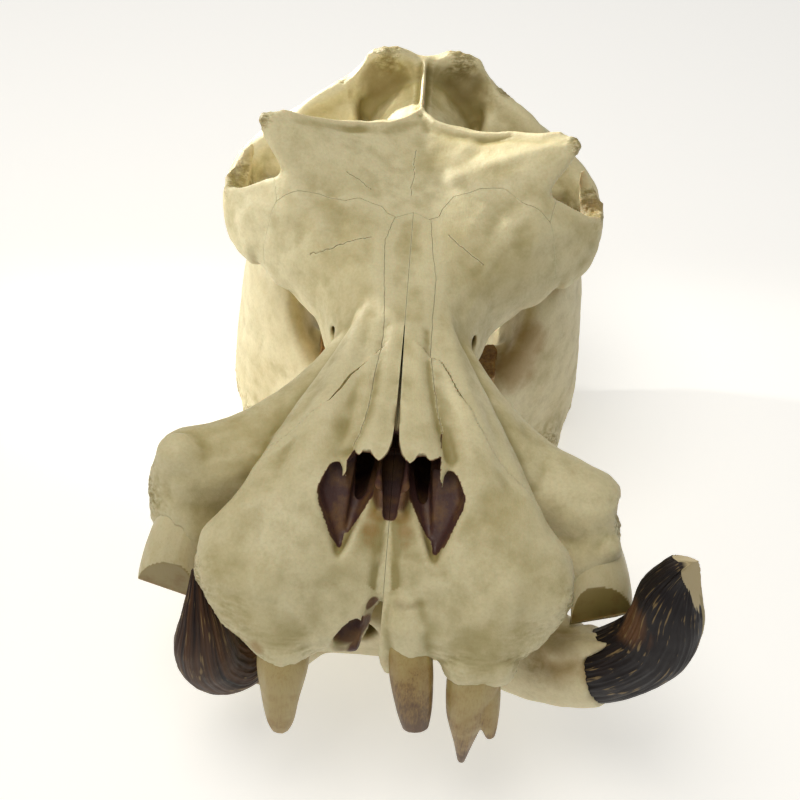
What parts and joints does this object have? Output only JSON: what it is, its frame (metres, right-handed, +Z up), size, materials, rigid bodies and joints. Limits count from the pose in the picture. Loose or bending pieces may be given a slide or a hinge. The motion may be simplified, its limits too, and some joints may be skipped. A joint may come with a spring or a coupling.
{
  "type": "hippopotamus skull",
  "caption": "Life-size hippopotamus skull with its lower jaw, tusks and front teeth, a still display model that rests on its jaw.",
  "frame": {"origin": "middle of the flat under the chin, where the lower jaw meets the floor", "axes": "+Z up, -Y towards the nose, +X towards the animal's own left"},
  "size_m": [0.4723, 0.7009, 0.4269],
  "materials": {
    "dry_bone": "matt cleaned bone, cream with olive and brown stain in its hollows",
    "jaw_bone": "matt cleaned bone, paler than the cranium",
    "worn_ivory": "worn tooth ivory with brown stain",
    "dark_tusk": "dark ridged enamel over ivory, half gloss"
  },
  "bodies": {
    "root": {"braincase": "dry_bone", "frontal": "dry_bone", "nasal_left": "dry_bone", "nasal_right": "dry_bone", "premaxilla_left": "dry_bone", "premaxilla_right": "dry_bone", "maxilla_left": "dry_bone", "maxilla_right": "dry_bone", "jugal_left": "dry_bone", "jugal_right": "dry_bone", "mandible": "jaw_bone", "tusk_left": "dark_tusk", "tusk_right": "dark_tusk", "canine_left": "worn_ivory", "canine_right": "worn_ivory", "incisor_left_1": "worn_ivory", "incisor_left_2": "worn_ivory", "incisor_right_2": "worn_ivory"}
  },
  "joints": []
}
